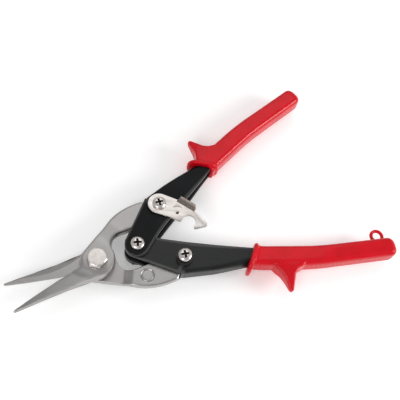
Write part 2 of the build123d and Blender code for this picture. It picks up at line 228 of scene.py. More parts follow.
# ---- materials ---------------------------------------------------------------------------------------
class Finish:
    """A material with a Principled shader, and short calls for the nodes that feed it."""

    def __init__(self, name, **constants):
        self.material = bpy.data.materials.new(name)
        self.material.use_nodes = True
        self.tree = self.material.node_tree
        self.shader = self.tree.nodes["Principled BSDF"]
        for socket, value in constants.items():
            self.shader.inputs[socket.replace("_", " ")].default_value = value
        self.place = self.node("ShaderNodeTexCoord").outputs["Object"]

    def node(self, kind, **settings):
        """A new node of the kind, with its settings."""
        made = self.tree.nodes.new(kind)
        for key, value in settings.items():
            setattr(made, key, value)
        return made

    def link(self, source, target):
        self.tree.links.new(source, target)

    def stretched(self, size, angle=0.0):
        """Object coordinates in which a unit is size = (x, y, z) millimetres."""
        mapping = self.node("ShaderNodeMapping")
        mapping.inputs["Rotation"].default_value = (0, 0, radians(angle))
        mapping.inputs["Scale"].default_value = [1 / (s * MM) for s in size]
        self.link(self.place, mapping.inputs["Vector"])
        return mapping.outputs["Vector"]

    def noise(self, size, detail=3.0, angle=0.0, roughness=0.5):
        """Noise from 0 to 1 with lumps of size = (x, y, z) millimetres."""
        made = self.node("ShaderNodeTexNoise")
        made.inputs["Scale"].default_value = 1.0
        made.inputs["Detail"].default_value = detail
        made.inputs["Roughness"].default_value = roughness
        self.link(self.stretched(size, angle), made.inputs["Vector"])
        return made.outputs["Fac"]

    def ramp(self, value, low, high, from_low=0.3, from_high=0.7):
        """The value mapped from one range to another, and kept inside it."""
        made = self.node("ShaderNodeMapRange")
        for socket, number in zip(("From Min", "From Max", "To Min", "To Max"),
                                  (from_low, from_high, low, high)):
            made.inputs[socket].default_value = number
        self.link(value, made.inputs["Value"])
        return made.outputs["Result"]

    def mix(self, share, a, b):
        """Colour a, or b where share is 1; each is a colour or another node's output."""
        made = self.node("ShaderNodeMix", data_type="RGBA")
        self.link(share, made.inputs["Factor"])
        # The colour sockets share their names with others, so they are taken by number.
        for number, value in ((6, a), (7, b)):
            if isinstance(value, tuple):
                made.inputs[number].default_value = (*value, 1)
            else:
                self.link(value, made.inputs[number])
        return made.outputs[2]

    def edges(self, start=0.52, end=0.58):
        """1 on convex edges, 0 elsewhere."""
        return self.ramp(self.node("ShaderNodeNewGeometry").outputs["Pointiness"], 0, 1, start, end)

    def hollows(self, start=0.49, end=0.44):
        """1 in concave corners, 0 elsewhere."""
        return self.ramp(self.node("ShaderNodeNewGeometry").outputs["Pointiness"], 0, 1, start, end)

    def times(self, a, b):
        """a * b"""
        made = self.node("ShaderNodeMath", operation="MULTIPLY")
        self.link(a, made.inputs[0])
        self.link(b, made.inputs[1])
        return made.outputs[0]

    def plus(self, a, b, share):
        """a + b * share"""
        made = self.node("ShaderNodeMath", operation="MULTIPLY_ADD")
        self.link(b, made.inputs[0])
        made.inputs[1].default_value = share
        self.link(a, made.inputs[2])
        return made.outputs[0]

    def bump(self, height, depth):
        """Bump of the height, where 1 stands depth millimetres out."""
        made = self.node("ShaderNodeBump")
        made.inputs["Strength"].default_value = 1.0
        made.inputs["Distance"].default_value = depth * MM
        self.link(height, made.inputs["Height"])
        self.link(made.outputs["Normal"], self.shader.inputs["Normal"])

    def to(self, socket, value):
        """Feeds the value into one of the shader's sockets."""
        self.link(value, self.shader.inputs[socket])


def jaw_steel():
    """Forged and ground tool steel: fine grinding lines under a satin grain, and a painted highlight that
    brightens the edges.
    """
    f = Finish("jaw_steel", Metallic=1.0)
    grain = f.noise((0.30, 0.30, 0.30), 4, roughness=0.7)
    lines = f.noise((0.12, 3.5, 0.6), 3, angle=24)
    cloud = f.noise((9, 9, 9), 3)
    grey = f.mix(f.ramp(cloud, 0, 1), (0.420, 0.404, 0.396), (0.500, 0.486, 0.478))
    grey = f.mix(f.ramp(grain, 0, 0.5), grey, (0.310, 0.297, 0.291))
    # Painted highlight: convex edges are mixed towards a light grey.
    f.to("Base Color", f.mix(f.ramp(f.edges(), 0, 0.6, 0, 1), grey, (0.60, 0.59, 0.58)))
    f.to("Roughness", f.ramp(f.plus(cloud, grain, 0.8), 0.27, 0.42, 0.6, 1.2))
    f.bump(f.plus(grain, lines, 0.6), 0.030)
    return f.material


def handle_black(name, shine):
    """Glossy black paint on pressed steel: slight orange peel, a few dusty patches, and a painted highlight
    on the edges, broken up by fine noise.
    """
    f = Finish(name, Specular_IOR_Level=shine, Coat_Weight=0.04, Coat_Roughness=0.10)
    peel = f.noise((1.6, 1.6, 1.6), 2)
    fine = f.noise((0.25, 0.25, 0.25), 3)
    dust = f.noise((14, 14, 14), 4)
    black = f.mix(f.ramp(dust, 0, 1, 0.42, 0.72), (0.0035, 0.0038, 0.0045), (0.0075, 0.0085, 0.0095))
    # Painted highlight: convex edges are mixed towards grey, in broken specks.
    f.to("Base Color", f.mix(f.times(f.edges(0.53, 0.62), f.ramp(fine, 0.2, 0.8)), black, (0.10, 0.10, 0.10)))
    f.to("Roughness", f.ramp(f.plus(dust, fine, 0.5), 0.24, 0.40, 0.55, 1.0))
    f.bump(f.plus(peel, fine, 0.15), 0.020)
    return f.material


def grip_red():
    """Glossy dipped PVC: slow waves in the skin, pores, a painted highlight on convex edges, and painted
    shade that deepens the red in concave corners.
    """
    f = Finish("grip_red", Specular_IOR_Level=0.16, Coat_Weight=0.25, Coat_Roughness=0.05)
    waves = f.noise((8, 8, 8), 2)
    pores = f.noise((0.5, 0.5, 0.5), 3)
    red = f.mix(f.ramp(waves, 0, 1), (0.58, 0.0006, 0.0075), (0.66, 0.0010, 0.0110))
    # Painted highlight: convex edges are mixed towards a lighter red.
    red = f.mix(f.ramp(f.edges(0.53, 0.64), 0, 0.4, 0, 1), red, (0.74, 0.020, 0.034))
    # Painted shade: concave corners are mixed towards a deep red.
    f.to("Base Color", f.mix(f.ramp(f.hollows(0.48, 0.40), 0, 0.8, 0, 1), red, (0.26, 0.0005, 0.002)))
    f.to("Roughness", f.ramp(pores, 0.22, 0.34))
    f.bump(f.plus(waves, pores, 0.05), 0.10)
    return f.material


def bright_plate():
    """Bright plated steel: warm and mottled, with a painted highlight on the edges and painted shade in the
    corners.
    """
    f = Finish("bright_plate", Metallic=1.0)
    mottle = f.noise((1.6, 1.6, 1.6), 3)
    cloud = f.noise((4, 4, 4), 3)
    plate = f.mix(f.ramp(mottle, 0, 1), (0.66, 0.61, 0.58), (0.76, 0.715, 0.685))
    # Painted shade: concave corners are mixed towards a dark brown.
    plate = f.mix(f.ramp(f.hollows(), 0, 0.7, 0, 1), plate, (0.16, 0.13, 0.12))
    # Painted highlight: convex edges are mixed towards a near white.
    f.to("Base Color", f.mix(f.ramp(f.edges(), 0, 0.8, 0, 1), plate, (0.88, 0.86, 0.84)))
    f.to("Roughness", f.ramp(f.plus(cloud, mottle, 0.7), 0.20, 0.36, 0.6, 1.1))
    f.bump(mottle, 0.012)
    return f.material


def dark_steel(name, dark, light, roughness):
    """Steel with a film of oil: patches of tone between dark and light, and a soft shine."""
    f = Finish(name, Metallic=1.0)
    film = f.noise((1.2, 1.2, 0.2), 4)
    cloud = f.noise((5, 5, 5), 2)
    tone = f.mix(f.ramp(film, 0, 1), dark, light)
    # Painted highlight: convex edges are mixed towards a mid grey.
    f.to("Base Color", f.mix(f.ramp(f.edges(), 0, 0.5, 0, 1), tone, (0.5, 0.5, 0.5)))
    f.to("Roughness", f.ramp(cloud, roughness - 0.07, roughness + 0.07))
    f.bump(film, 0.012)
    return f.material


def post_black():
    """Black oxide: a soft sheen, lighter and browner on the edges, partly wear and partly a painted
    highlight.
    """
    f = Finish("post_black", Metallic=0.4)
    grain = f.noise((0.5, 0.5, 0.5), 4)
    tone = f.mix(f.ramp(grain, 0, 1), (0.008, 0.008, 0.009), (0.020, 0.019, 0.019))
    # Partly wear and partly painted highlight: convex edges are mixed towards a dark brown.
    f.to("Base Color", f.mix(f.ramp(f.edges(), 0, 0.6, 0, 1), tone, (0.10, 0.085, 0.075)))
    f.to("Roughness", f.ramp(grain, 0.28, 0.44))
    f.bump(grain, 0.015)
    return f.material


def floor_white():
    """Plain matt studio paper."""
    f = Finish("floor_white", Roughness=0.95, Emission_Strength=0.22)
    f.to("Base Color", f.mix(f.ramp(f.noise((60, 60, 60), 2), 0, 1), (0.93, 0.93, 0.93), (0.95, 0.95, 0.95)))
    return f.material


finishes = {
    "jaw_steel": jaw_steel(),
    "handle_black": handle_black("handle_black", 0.10),
    "handle_sheen": handle_black("handle_sheen", 0.36),
    "grip_red": grip_red(),
    "bright_plate": bright_plate(),
    "bush_steel": dark_steel("bush_steel", (0.10, 0.10, 0.10), (0.22, 0.22, 0.22), 0.36),
    "spring_wire": dark_steel("spring_wire", (0.16, 0.155, 0.15), (0.30, 0.29, 0.28), 0.30),
    "post_black": post_black(),
    # Painted shade: a near-black copy of the steel for the screws' cross recesses.
    "recess": dark_steel("recess", (0.020, 0.017, 0.016), (0.050, 0.043, 0.040), 0.40),
    # Painted shade: a darker, browner copy of the plated steel for the latch's turned-up tab, which faces
    # away from the light.
    "latch_tab_shade": dark_steel("latch_tab_shade", (0.17, 0.125, 0.10), (0.30, 0.245, 0.215), 0.26),
}
for part in frame["record"]["subparts"]:
    node = frame["nodes"][part["node"]]
    node.data.materials.clear()
    node.data.materials.append(finishes[part["material_slot"]])


# ---- jaws --------------------------------------------------------------------------------------------
HUB_R = 10.6
HUB_T = 6.2
BLADE_GAP = 0.08
SHOULDER = 121.0               # direction in degrees where the tail's outer edge leaves the round hub
NECK = (13.6, 21.5)            # a point of that edge, and the way in which it passes there
NECK_WAY = (-10, -8.2)
TAIL_R = 7.2
TAIL_EDGE = 12.4
HOLLOW = [(11.4, 1.0), (11.4, 4.6)]    # the short straight between the hub and the tail's inner edge
WAIST = (19.5, 13.0)           # where the curve from there ends
JOGGLE_ANGLE = 29.0
INNER_JOGGLE = [(16.9, BLADE_GAP), (21.9, -3.0)]
OUTER_JOGGLE = [(12.0, HUB_T), (26.5, 2.0)]
BACK_Y = -9.9
BACK_SLOPE = 1.5
TIP_X = -54.5
EDGE_T = 0.9                   # the outer face is nowhere lower than this
# Each by distance from the pivot: the cutting edge, the inner land's limit, the crease and its height.
EDGE = [(-54.5, -8.6), (-41.0, -4.9), (-26.0, -1.3), (-12.6, 1.1), (1.0, 3.6)]
LAND = [(-54.5, -9.5), (-44.9, -8.9), (-33.6, -6.4), (-27.8, -5.6), (-21.5, -5.7), (-15.0, -6.4),
        (-8.0, -8.4)]
CREASE = [(-54.5, -9.3), (-41.0, -8.9), (-26.0, -8.7), (-12.6, -8.9), (1.0, -9.6)]
HEIGHT = [(-54.5, 1.8), (-41.0, 3.6), (-26.0, 4.5), (-12.6, 5.2), (1.0, 5.7)]
# The facet's rise as a share of the crease's height, by the way from the cutting edge to the crease.
FACET = [(0, 0), (0.12, 0.58), (1, 1), (2, 1)]
RELIEF_END = -7.9
RELIEF_SLOPE = 0.50
COIN = (24.2, 19.7)            # centre of the plain coined ring on the lower jaw's tail
COIN_R = 3.8
COIN_HALF = 0.33
COIN_DEPTH = 0.40
COIN_ROWS = (-0.7, -0.35, 0, 0.35, 0.7)    # rings of mesh points, by distance from the coined ring
RIM_ROWS = (0.14, 0.32, 0.6, 0.95)         # rows of mesh points inside the outline, by distance from it
GRID = 0.9                                 # between the other mesh points
CREASE_STEP = 0.8
GRID_MARGIN = 1.3
HOLE_MARGIN = 0.4


def edge_point(x):
    """The point of the cutting edge at x."""
    return x, float(np.interp(x, *zip(*EDGE)))


def jaw_outline():
    """The whole jaw in plan, anticlockwise from the tail's end beside its pin."""
    pin = np.array((PIN.x, PIN.y))
    across = np.array((-sin(radians(OPEN_ANGLE)), cos(radians(OPEN_ANGLE))))
    end = tuple(pin + across * TAIL_EDGE)
    shoulder = arc((0, 0), HUB_R, SHOULDER, SHOULDER + 1)[0]
    along_hub = (-sin(radians(SHOULDER)), cos(radians(SHOULDER)))
    points = hermite(end, (-26, 2), NECK, NECK_WAY) + hermite(NECK, NECK_WAY, shoulder, along_hub)[1:]
    # The cutting edge leaves the hub at the left, and the back meets it below.
    leave = 150
    while HUB_R * sin(radians(leave)) >= edge_point(HUB_R * cos(radians(leave)))[1]:
        leave += 1
    meet = 180 + np.degrees(np.arcsin(-BACK_Y / HUB_R))
    points += arc((0, 0), HUB_R, SHOULDER, leave)[1:]
    xs = np.append(np.arange(points[-1][0] - STEP, TIP_X + 0.4, -STEP), TIP_X + 0.3)
    points += [edge_point(x) for x in xs]
    points += [(TIP_X, BACK_Y + 0.9), (TIP_X + 0.2, BACK_Y + 0.15)]
    points += spread((TIP_X + 0.8, BACK_Y), (HUB_R * cos(radians(meet)), BACK_Y))
    points += arc((0, 0), HUB_R, meet, 270)[1:]
    points += hermite((0, -HUB_R), (1, 0), HOLLOW[0], (0, 1))[1:]
    points += spread(*HOLLOW)[1:]
    points += hermite(HOLLOW[1], (0, 1), WAIST, (1, 0.15))[1:]
    points += spread(WAIST, (pin[0], pin[1] - TAIL_R))[1:]
    points += arc(pin, TAIL_R, -90, 90 + OPEN_ANGLE)[1:]
    points += spread(pin + across * TAIL_R, end)[1:-1]
    return np.array(points)


def inside(points, loop):
    """Which points lie inside the closed loop."""
    x, y = points[:, :1], points[:, 1:]
    ax, ay = loop[:, 0], loop[:, 1]
    bx, by = np.roll(ax, -1), np.roll(ay, -1)
    straddles = (ay > y) != (by > y)
    with np.errstate(divide="ignore", invalid="ignore"):
        crossing = (bx - ax) * (y - ay) / (by - ay) + ax
    return (straddles & (x < crossing)).sum(axis=1) % 2 == 1


def gap_to(points, loop):
    """Distance of each point from the closed loop."""
    a, b = loop, np.roll(loop, -1, axis=0)
    d = b - a
    nearest = np.full(len(points), 1e9)
    for (ax, ay), (dx, dy) in zip(a, d):
        t = np.clip(((points[:, 0] - ax) * dx + (points[:, 1] - ay) * dy) / (dx * dx + dy * dy), 0, 1)
        nearest = np.minimum(nearest, np.hypot(points[:, 0] - ax - t * dx, points[:, 1] - ay - t * dy))
    return nearest


def smooth_min(a, b, width):
    """The smaller of a and b, blended where they are closer than the width."""
    h = np.clip(0.5 + 0.5 * (b - a) / width, 0, 1)
    return b + (a - b) * h - width * h * (1 - h)


def smooth_step(value, start, end):
    """0 at start and 1 at end, with an easy run between them."""
    t = np.clip((value - start) / (end - start), 0, 1)
    return t * t * (3 - 2 * t)


def soft_interp(value, line, window):
    """The line through points, its corners rounded over the window."""
    xs, ys = zip(*line)
    return np.mean([np.interp(value + w, xs, ys) for w in np.linspace(-window, window, 7)], axis=0)


def along_tail(p):
    """How far each point lies along the way in which the tail is joggled."""
    return p[:, 0] * cos(radians(JOGGLE_ANGLE)) + p[:, 1] * sin(radians(JOGGLE_ANGLE))


def rim_curve(rim, width):
    """Quarter round beside the outline: 1 on the outline, 0 from the width inward."""
    return 1 - np.sqrt(np.clip(1 - np.clip(1 - rim / width, 0, 1) ** 2, 0, 1))


def jaw_top(p, rim):
    """Outer face: hub and joggled tail sweep down into the blade's ground facet and its back."""
    x, y = p[:, 0], p[:, 1]
    hub = soft_interp(along_tail(p), OUTER_JOGGLE, 2.0)
    edge, crease, height = (soft_interp(x, line, 1.5) for line in (EDGE, CREASE, HEIGHT))
    up = np.clip((edge - y) / np.maximum(edge - crease, 0.2), 0, None)
    facet = EDGE_T + (height - EDGE_T) * soft_interp(up, FACET, 0.03)
    back = height - BACK_SLOPE * np.maximum(crease - y, 0)
    blade = smooth_min(facet, back, 0.12)
    # Close to the pivot, and right of it or above it, the blade gives way to the hub and the tail.
    away = np.hypot(x, np.minimum(y, 0)) + 0.5 * np.maximum(-y, 0)
    hold = smooth_step(away, 17.5, 7.6)
    hub_side = np.maximum(smooth_step(x, -2.5, 3.5), smooth_step(y, 2.5, 7.5))
    top = blade + (hub - blade) * np.maximum(hold, hub_side)
    # The rim falls away, more at the hub than on the blade, and not at all along the cutting edge.
    firm = smooth_step(x, -24, -7)
    width = 0.35 + 1.45 * firm
    draft = np.maximum(0.40 - rim, 0) * (1.2 + 4.0 * firm)
    edge_side = smooth_step(-x, 9, 16) * smooth_step(y - crease, 0.3, 1.0)
    return np.maximum(top - (width * 0.8 * rim_curve(rim, width) + draft) * (1 - edge_side), EDGE_T)


def jaw_bottom(p, rim, coined):
    """Inner face: flat, joggled at the tail, and hollow behind the cutting edge's land."""
    x, y = p[:, 0], p[:, 1]
    along = along_tail(p)
    face = soft_interp(along, INNER_JOGGLE, 0.7)
    land = np.interp(x, *zip(*LAND))
    relief = np.where(x < RELIEF_END, np.maximum(land - y, 0) * RELIEF_SLOPE, 0)
    width = 0.12 + 0.75 * smooth_step(along, 15, 20)
    groove = 0
    if coined:
        ring_r = np.hypot(x - COIN[0], y - COIN[1])
        groove = COIN_DEPTH * np.exp(-((ring_r - COIN_R) / COIN_HALF) ** 2) + 0.10 * (ring_r < COIN_R)
    return face + relief + width * 0.9 * rim_curve(rim, width) + groove


def jaw_inside(outline, holes, coined):
    """Points inside the plan: a grid, rows that follow the outline, and rings along the coined groove."""
    ways = np.roll(outline, -1, axis=0) - np.roll(outline, 1, axis=0)
    inward = np.stack((-ways[:, 1], ways[:, 0]), axis=1) / np.linalg.norm(ways, axis=1)[:, None]
    grid = np.stack(np.meshgrid(np.arange(TIP_X, 60, GRID), np.arange(-12, 36, GRID)), axis=-1).reshape(-1, 2)
    # Each group of points comes with the least distance it keeps from the outline.
    groups = [(grid, GRID_MARGIN)] + [(outline + inward * d, d * 0.93) for d in RIM_ROWS]
    if coined:
        rings = [arc(COIN, COIN_R + d, 0, 360, 0.5)[:-1] for d in COIN_ROWS]
        groups.append((np.array([p for ring in rings for p in ring]), 1.0))
        groups[0] = (grid[np.abs(np.hypot(*(grid - COIN).T) - COIN_R) > 0.95], GRID_MARGIN)
    kept = []
    for points, least in groups:
        keep = inside(points, outline) & (gap_to(points, outline) > least)
        for hole in holes:
            keep &= ~inside(points, hole) & (gap_to(points, hole) > HOLE_MARGIN)
        kept += list(points[keep])
    return kept


def jaw_plan(outline, holes, inner):
    """Points and triangles over the plan without its holes, with edges laid along the creases."""
    lines = [(outline, True)] + [(hole, True) for hole in holes]
    for line, start, end in ((CREASE, TIP_X + 1.5, -13), (LAND, TIP_X + 6, -8)):
        xs = np.arange(start, end, CREASE_STEP)
        lines.append((np.stack((xs, np.interp(xs, *zip(*line))), axis=1), False))
    points, edges = [], []
    for line, closed in lines:
        first, count = len(points), len(line)
        points += [Vector(p) for p in line]
        edges += [(first + i, first + (i + 1) % count) for i in range(count if closed else count - 1)]
    points += [Vector(p) for p in inner]
    flat, _, triangles, *_ = delaunay_2d_cdt(points, edges, [], 0, 1e-4)
    flat = np.array([tuple(p) for p in flat])
    centres = flat[np.array(triangles)].mean(axis=1)
    keep = inside(centres, outline)
    for hole in holes:
        keep &= ~inside(centres, hole)
    return flat, [t for t, k in zip(triangles, keep) if k]


def jaw(name, side, body, hole_r, pin_hole_r, coined):
    """One jaw: the plan is raised to its two faces, with a wall round each of its outlines."""
    outline = jaw_outline()
    holes = [np.array(arc(centre, radius, 0, 360, 0.5)[:-1])
             for centre, radius in (((0, 0), hole_r), ((PIN.x, PIN.y), pin_hole_r))]
    flat, triangles = jaw_plan(outline, holes, jaw_inside(outline, holes, coined))
    rim = gap_to(flat, outline)
    top, bottom = jaw_top(flat, rim), jaw_bottom(flat, rim, coined)
    count = len(flat)
    sides = [(a, b) for t in triangles for a, b in zip(t, t[1:] + t[:1])]
    shared = set(sides)
    solid = [(x, y, z) for (x, y), z in zip(flat, top)] + [(x, y, z) for (x, y), z in zip(flat, bottom)]
    faces = triangles + [tuple(count + i for i in reversed(t)) for t in triangles]
    faces += [(b, a, count + a, count + b) for a, b in sides if (b, a) not in shared]
    thing = make(name, solid, faces, on_side(side))
    settle(thing, 26)
    show(thing, body, "jaw_steel", name)


jaw("front_blade", 1, "front_jaw", hole_r=3.05, pin_hole_r=3.85, coined=False)
jaw("rear_blade", -1, "rear_jaw", hole_r=3.0, pin_hole_r=3.45, coined=True)


# ---- handles -----------------------------------------------------------------------------------------
SHEET = 1.9
NOSE_R = 7.8
WEB_START = HANDLE_ARM + 0.5
HANDLE_END = 148.0
LINK_HOLE_R = 2.5
# The inner and outer edge ahead of the grip, then the grip's own line, each by distance from the hinge.
FRONT_INNER = [(-5, -7.7), (0, -7.8), (13, -8.4), (27, -10.6), (46, -14.2)]
FRONT_OUTER = [(-5, 7.8), (0, 7.8), (10, 8.4), (30.2, 9.9), (50, 1.4)]
SPINE = [(71.0, -14.2), (110.0, -26.6), (154.1, -46.3)]
CORE_HALF = 5.1
GRIP_OUT = 5.2
SHIFT = {1: 1.1, -1: -0.5}     # each grip's line lies this far outward
BEND_R = [(30, 1.15), (45, 1.2), (56, 1.6), (64, 2.7), (71, 3.4), (200, 3.4)]   # the web's bends, mid-sheet
# How many points a cross-section has over a side's flat, round its bend and down the web.
SIDE_POINTS = 12
BEND_POINTS = 7
WEB_POINTS = 4


def spine_line(offset):
    """The grip's line moved outward, carried on past both its ends."""
    slope = (SPINE[2][1] - SPINE[1][1]) / (SPINE[2][0] - SPINE[1][0])
    return [(x, y + offset) for x, y in SPINE] + [(220, SPINE[1][1] + slope * 110 + offset)]


def channel_row(x, low, high, z, r):
    """One cross-section of the sheet's middle: the upper side, its bend, the web and the lower side.

    Ahead of the web the sides stay flat, and None stands for each of the web's points.
    """
    centre = high - SHEET / 2 - r
    if x < WEB_START:
        centre = min(centre, high - 0.3 * (high - low))
    top = [(x, y, z) for y in np.linspace(low, centre, SIDE_POINTS)]
    if x < WEB_START:
        top += [(x, y, z) for y in np.linspace(centre, high, BEND_POINTS + 1)[1:]]
        web = [None] * WEB_POINTS
    else:
        angles = np.linspace(0, pi / 2, BEND_POINTS + 1)[1:]
        top += [(x, centre + r * sin(a), z - r * (1 - cos(a))) for a in angles]
        side_z = top[-1][2]
        web = [(x, top[-1][1], side_z * (1 - 2 * i / (WEB_POINTS + 1))) for i in range(1, WEB_POINTS + 1)]
    bottom = [(x, y, -z) for x, y, z in reversed(top)]
    return top + web + bottom


def handle(name, side, body, out, hinge_hole_r):
    """A pressed channel: a sheet laid over its mid-surface, then thickened, drilled and rounded."""
    inner = eased(FRONT_INNER + spine_line(SHIFT[side] - CORE_HALF), 3.0)
    outer = eased(FRONT_OUTER + spine_line(SHIFT[side] + CORE_HALF), 1.6)
    height = eased([(-20, out), (44, out), (62, GRIP_OUT), (220, GRIP_OUT)], 3.0)
    bend = eased(BEND_R, 2.0)
    nose = [-NOSE_R * cos(a) for a in np.linspace(0.02, pi / 2, 15)]
    plain = list(np.arange(1.5, WEB_START - 1.0, 1.5))
    webbed = list(np.arange(WEB_START + 1.2, HANDLE_END, 1.5))
    points, faces, index = [], [], []
    for x in nose + plain + [WEB_START - 0.5, WEB_START] + webbed:
        if x <= 0:
            high = sqrt(NOSE_R**2 - x**2)
            low = -high
        else:
            low, high = inner(x), outer(x)
        numbers = []
        for p in channel_row(x, low, high, height(x) - SHEET / 2, bend(x)):
            numbers.append(len(points) if p else None)
            if p:
                points.append(p)
        index.append(numbers)
    for a, b in zip(index, index[1:]):
        for i in range(len(a) - 1):
            quad = (a[i], a[i + 1], b[i + 1], b[i])
            if None not in quad:
                faces.append(quad)
    thing = make(name, points, faces, on_handle(side))
    thicken = thing.modifiers.new("sheet", "SOLIDIFY")
    thicken.thickness = SHEET * MM
    thicken.offset = 0
    settle(thing)
    reach = out + 1
    cut(thing, [turned("hole", [(r, -reach), (r, reach)], (x, 0), on_handle(side))
                for x, r in ((0, hinge_hole_r), (HANDLE_ARM, LINK_HOLE_R))])
    bevel(thing, 0.28, 50)
    settle(thing)
    show(thing, body, "handle_black", name, finish="handle_black" if side > 0 else "handle_sheen")


handle("upper_handle", 1, "upper_lever", out=7.6, hinge_hole_r=2.5)
handle("lower_handle", -1, "lower_lever", out=5.5, hinge_hole_r=3.45)


# ---- grips -------------------------------------------------------------------------------------------
GRIP_HALF = 6.5
GRIP_SWELL = [(0, 0.25), (100, 0.15), (125, -0.15), (220, -0.3)]       # how much is added to it, by x
GRIP_HALF_T = 6.3
GRIP_END_X = 159.2
GRIP_END_R = 4.4
VOXEL = 0.45                   # of the mesh into which a grip's parts melt, and how often it is smoothed
SMOOTHING = 14
FLANGE_AT = {1: (71.8, -13.4), -1: (70.6, -13.4)}
FLANGE_HALF = (10.6, 8.3)
FLANGE_T = 2.9
LEAN = {1: 17.0, -1: 3.0}      # each flange's outer side leans forward by this angle
HORN_TIP = {1: (85.8, 3.5), -1: (98.7, -1.3)}
# The horn by height from the middle of its round tip: its front side, rear side and half thickness.
HORN_FRONT = [(-20, -16.0), (-12.5, -15.0), (-9.6, -12.6), (-8.0, -8.6), (-4.6, -5.4), (0, -2.1), (1.5, -1.2)]
HORN_REAR = [(-20, 5.5), (-16.2, 4.2), (-13.6, 1.2), (-9.5, 0.1), (0, 1.3), (1.5, 1.3)]
HORN_HALF_T = [(-20, 6.5), (-13, 6.3), (-7, 4.9), (0, 2.6), (2, 2.4)]
LOOP_AT = (147.0, -54.05)
LOOP_R = (3.75, 1.22)          # to the middle of the ring's round section, and that section's own radius


def bar_rows(spine, width, height, start, end, step=1.2, end_r=0.0):
    """Cross-sections of a bar along the spine; its far end is rounded over end_r."""
    xs = list(np.arange(start, end - end_r, step))
    xs += [end - end_r * (1 - sin(a)) for a in np.linspace(0, pi / 2, 7)] if end_r else [end]
    rows = []
    for x in xs:
        d = np.array((1.0, spine(x + 0.5) - spine(x - 0.5)))
        d /= np.linalg.norm(d)
        near = min(max((end - x) / end_r, 0), 1) if end_r else 1
        inset = end_r * (1 - sqrt(1 - (1 - near) ** 2))
        half, tall = width(x) - inset, height(x) - inset * 0.85
        row = []
        for w, z in rounded(half, tall, min(2.9, half * 0.6)):
            crown = 0.30 * (1 - (w / half) ** 2) * (1 if z > 0 else -1) * (abs(z) > tall * 0.7) * near
            row.append((x - d[1] * w, spine(x) + d[0] * w, z + crown))
        rows.append(row)
    return rows


def flange_rows(side):
    """Cross-sections of the thin rounded flange at a grip's front."""
    lean = radians(LEAN[side])
    ahead = np.array((cos(lean), sin(lean)))
    across = np.array((-sin(lean), cos(lean)))
    centre = np.array((FLANGE_AT[side][0], FLANGE_AT[side][1] + SHIFT[side]))
    rows = []
    for a in np.linspace(-pi / 2, pi / 2, 9):
        inset = 1.2 * (1 - cos(a))
        at = centre + ahead * (FLANGE_T / 2) * sin(a)
        rows.append([(*(at + across * w), z)
                     for w, z in rounded(FLANGE_HALF[0] - inset, FLANGE_HALF[1] - inset, 6.4 - inset)])
    return rows


def horn_rows(side):
    """Cross-sections of the thumb horn, from inside the bar to its round tip."""
    tip = HORN_TIP[side]
    front, rear, thick = (eased(line, 0.8) for line in (HORN_FRONT, HORN_REAR, HORN_HALF_T))
    rows = []
    for y in list(np.arange(-17.5, 0, 0.8)) + [1.3 * sin(a) for a in np.linspace(0, 1.45, 6)]:
        shrink = sqrt(max(1 - max(y / 1.3, 0) ** 2, 0.01))
        middle_x = (front(y) + rear(y)) / 2
        half = (rear(y) - front(y)) / 2 * shrink
        tall = thick(y) * (0.6 + 0.4 * shrink)
        rows.append([(tip[0] + middle_x + w, tip[1] + y, z)
                     for w, z in rounded(half, tall, min(1.3, half * 0.9))])
    return rows


def ring(centre, radius, section, place):
    """A round ring of round section."""
    rows = []
    for a in np.linspace(0, 2 * pi, 49)[:-1]:
        row = []
        for b in np.linspace(0, 2 * pi, 17)[:-1]:
            reach = radius + section * cos(b)
            row.append((reach * cos(a) + centre[0], reach * sin(a) + centre[1], section * sin(b)))
        rows.append(row)
    points, faces = loops(rows + [rows[0]], closed_ends=False)
    count = len(points) - len(rows[0])
    return make("ring", points[:count], [[i % count for i in face] for face in faces], place)


def merge(thing, others):
    """Adds the others' meshes to the thing's own, and removes them."""
    joined = bmesh.new()
    joined.from_mesh(thing.data)
    for other in others:
        joined.from_mesh(other.data)
        bpy.data.objects.remove(other)
    joined.to_mesh(thing.data)
    joined.free()


def grip(name, side, body, has_loop):
    """A dipped grip: bar, flange, horn and loop melt into one skin, and the handle's core is cut out."""
    place = on_handle(side)
    front = FLANGE_AT[side][0]
    spine = eased(spine_line(SHIFT[side]), 9.0)
    width = eased([(x, GRIP_HALF + more) for x, more in GRIP_SWELL], 4)
    bar = bar_rows(spine, width, lambda x: GRIP_HALF_T, front - 0.4, GRIP_END_X, end_r=GRIP_END_R)
    thing = make(name, *loops(bar), place)
    others = [make("flange", *loops(flange_rows(side)), place), make("horn", *loops(horn_rows(side)), place)]
    if has_loop:
        others.append(ring(LOOP_AT, *LOOP_R, place))
    merge(thing, others)
    melt = thing.modifiers.new("melt", "REMESH")
    melt.mode = "VOXEL"
    melt.voxel_size = VOXEL * MM
    even = thing.modifiers.new("even", "SMOOTH")
    even.factor = 0.5
    even.iterations = SMOOTHING
    settle(thing, 180)
    straight = eased(spine_line(SHIFT[side]), 0.5)
    core = bar_rows(straight, lambda x: CORE_HALF - 0.1, lambda x: GRIP_OUT - 0.5, front - 6, HANDLE_END)
    cut(thing, [make("core", *loops(core), place)])
    settle(thing, 50)
    show(thing, body, "grip_red", name)


grip("upper_grip", 1, "upper_lever", has_loop=False)
grip("lower_grip", -1, "lower_lever", has_loop=True)


# ---- screws and bolt ---------------------------------------------------------------------------------
SCREW_R = 2.5
HEX_ANGLE = 23.0
# The pan head's profile in (radius, height) steps, and its cross recess from the top down: half the length
# and half the width of an arm, and the height over the head's underside.
PAN_HEAD = [(4.12, 0.0), (4.3, 0.18), (4.3, 0.75), (4.22, 1.15), (3.95, 1.55), (3.45, 1.9), (2.7, 2.17),
            (1.8, 2.34), (0.9, 2.42), (0.2, 2.44)]
CROSS = [(2.75, 0.80, 2.9), (2.45, 0.64, 1.9), (0.9, 0.34, 0.55)]


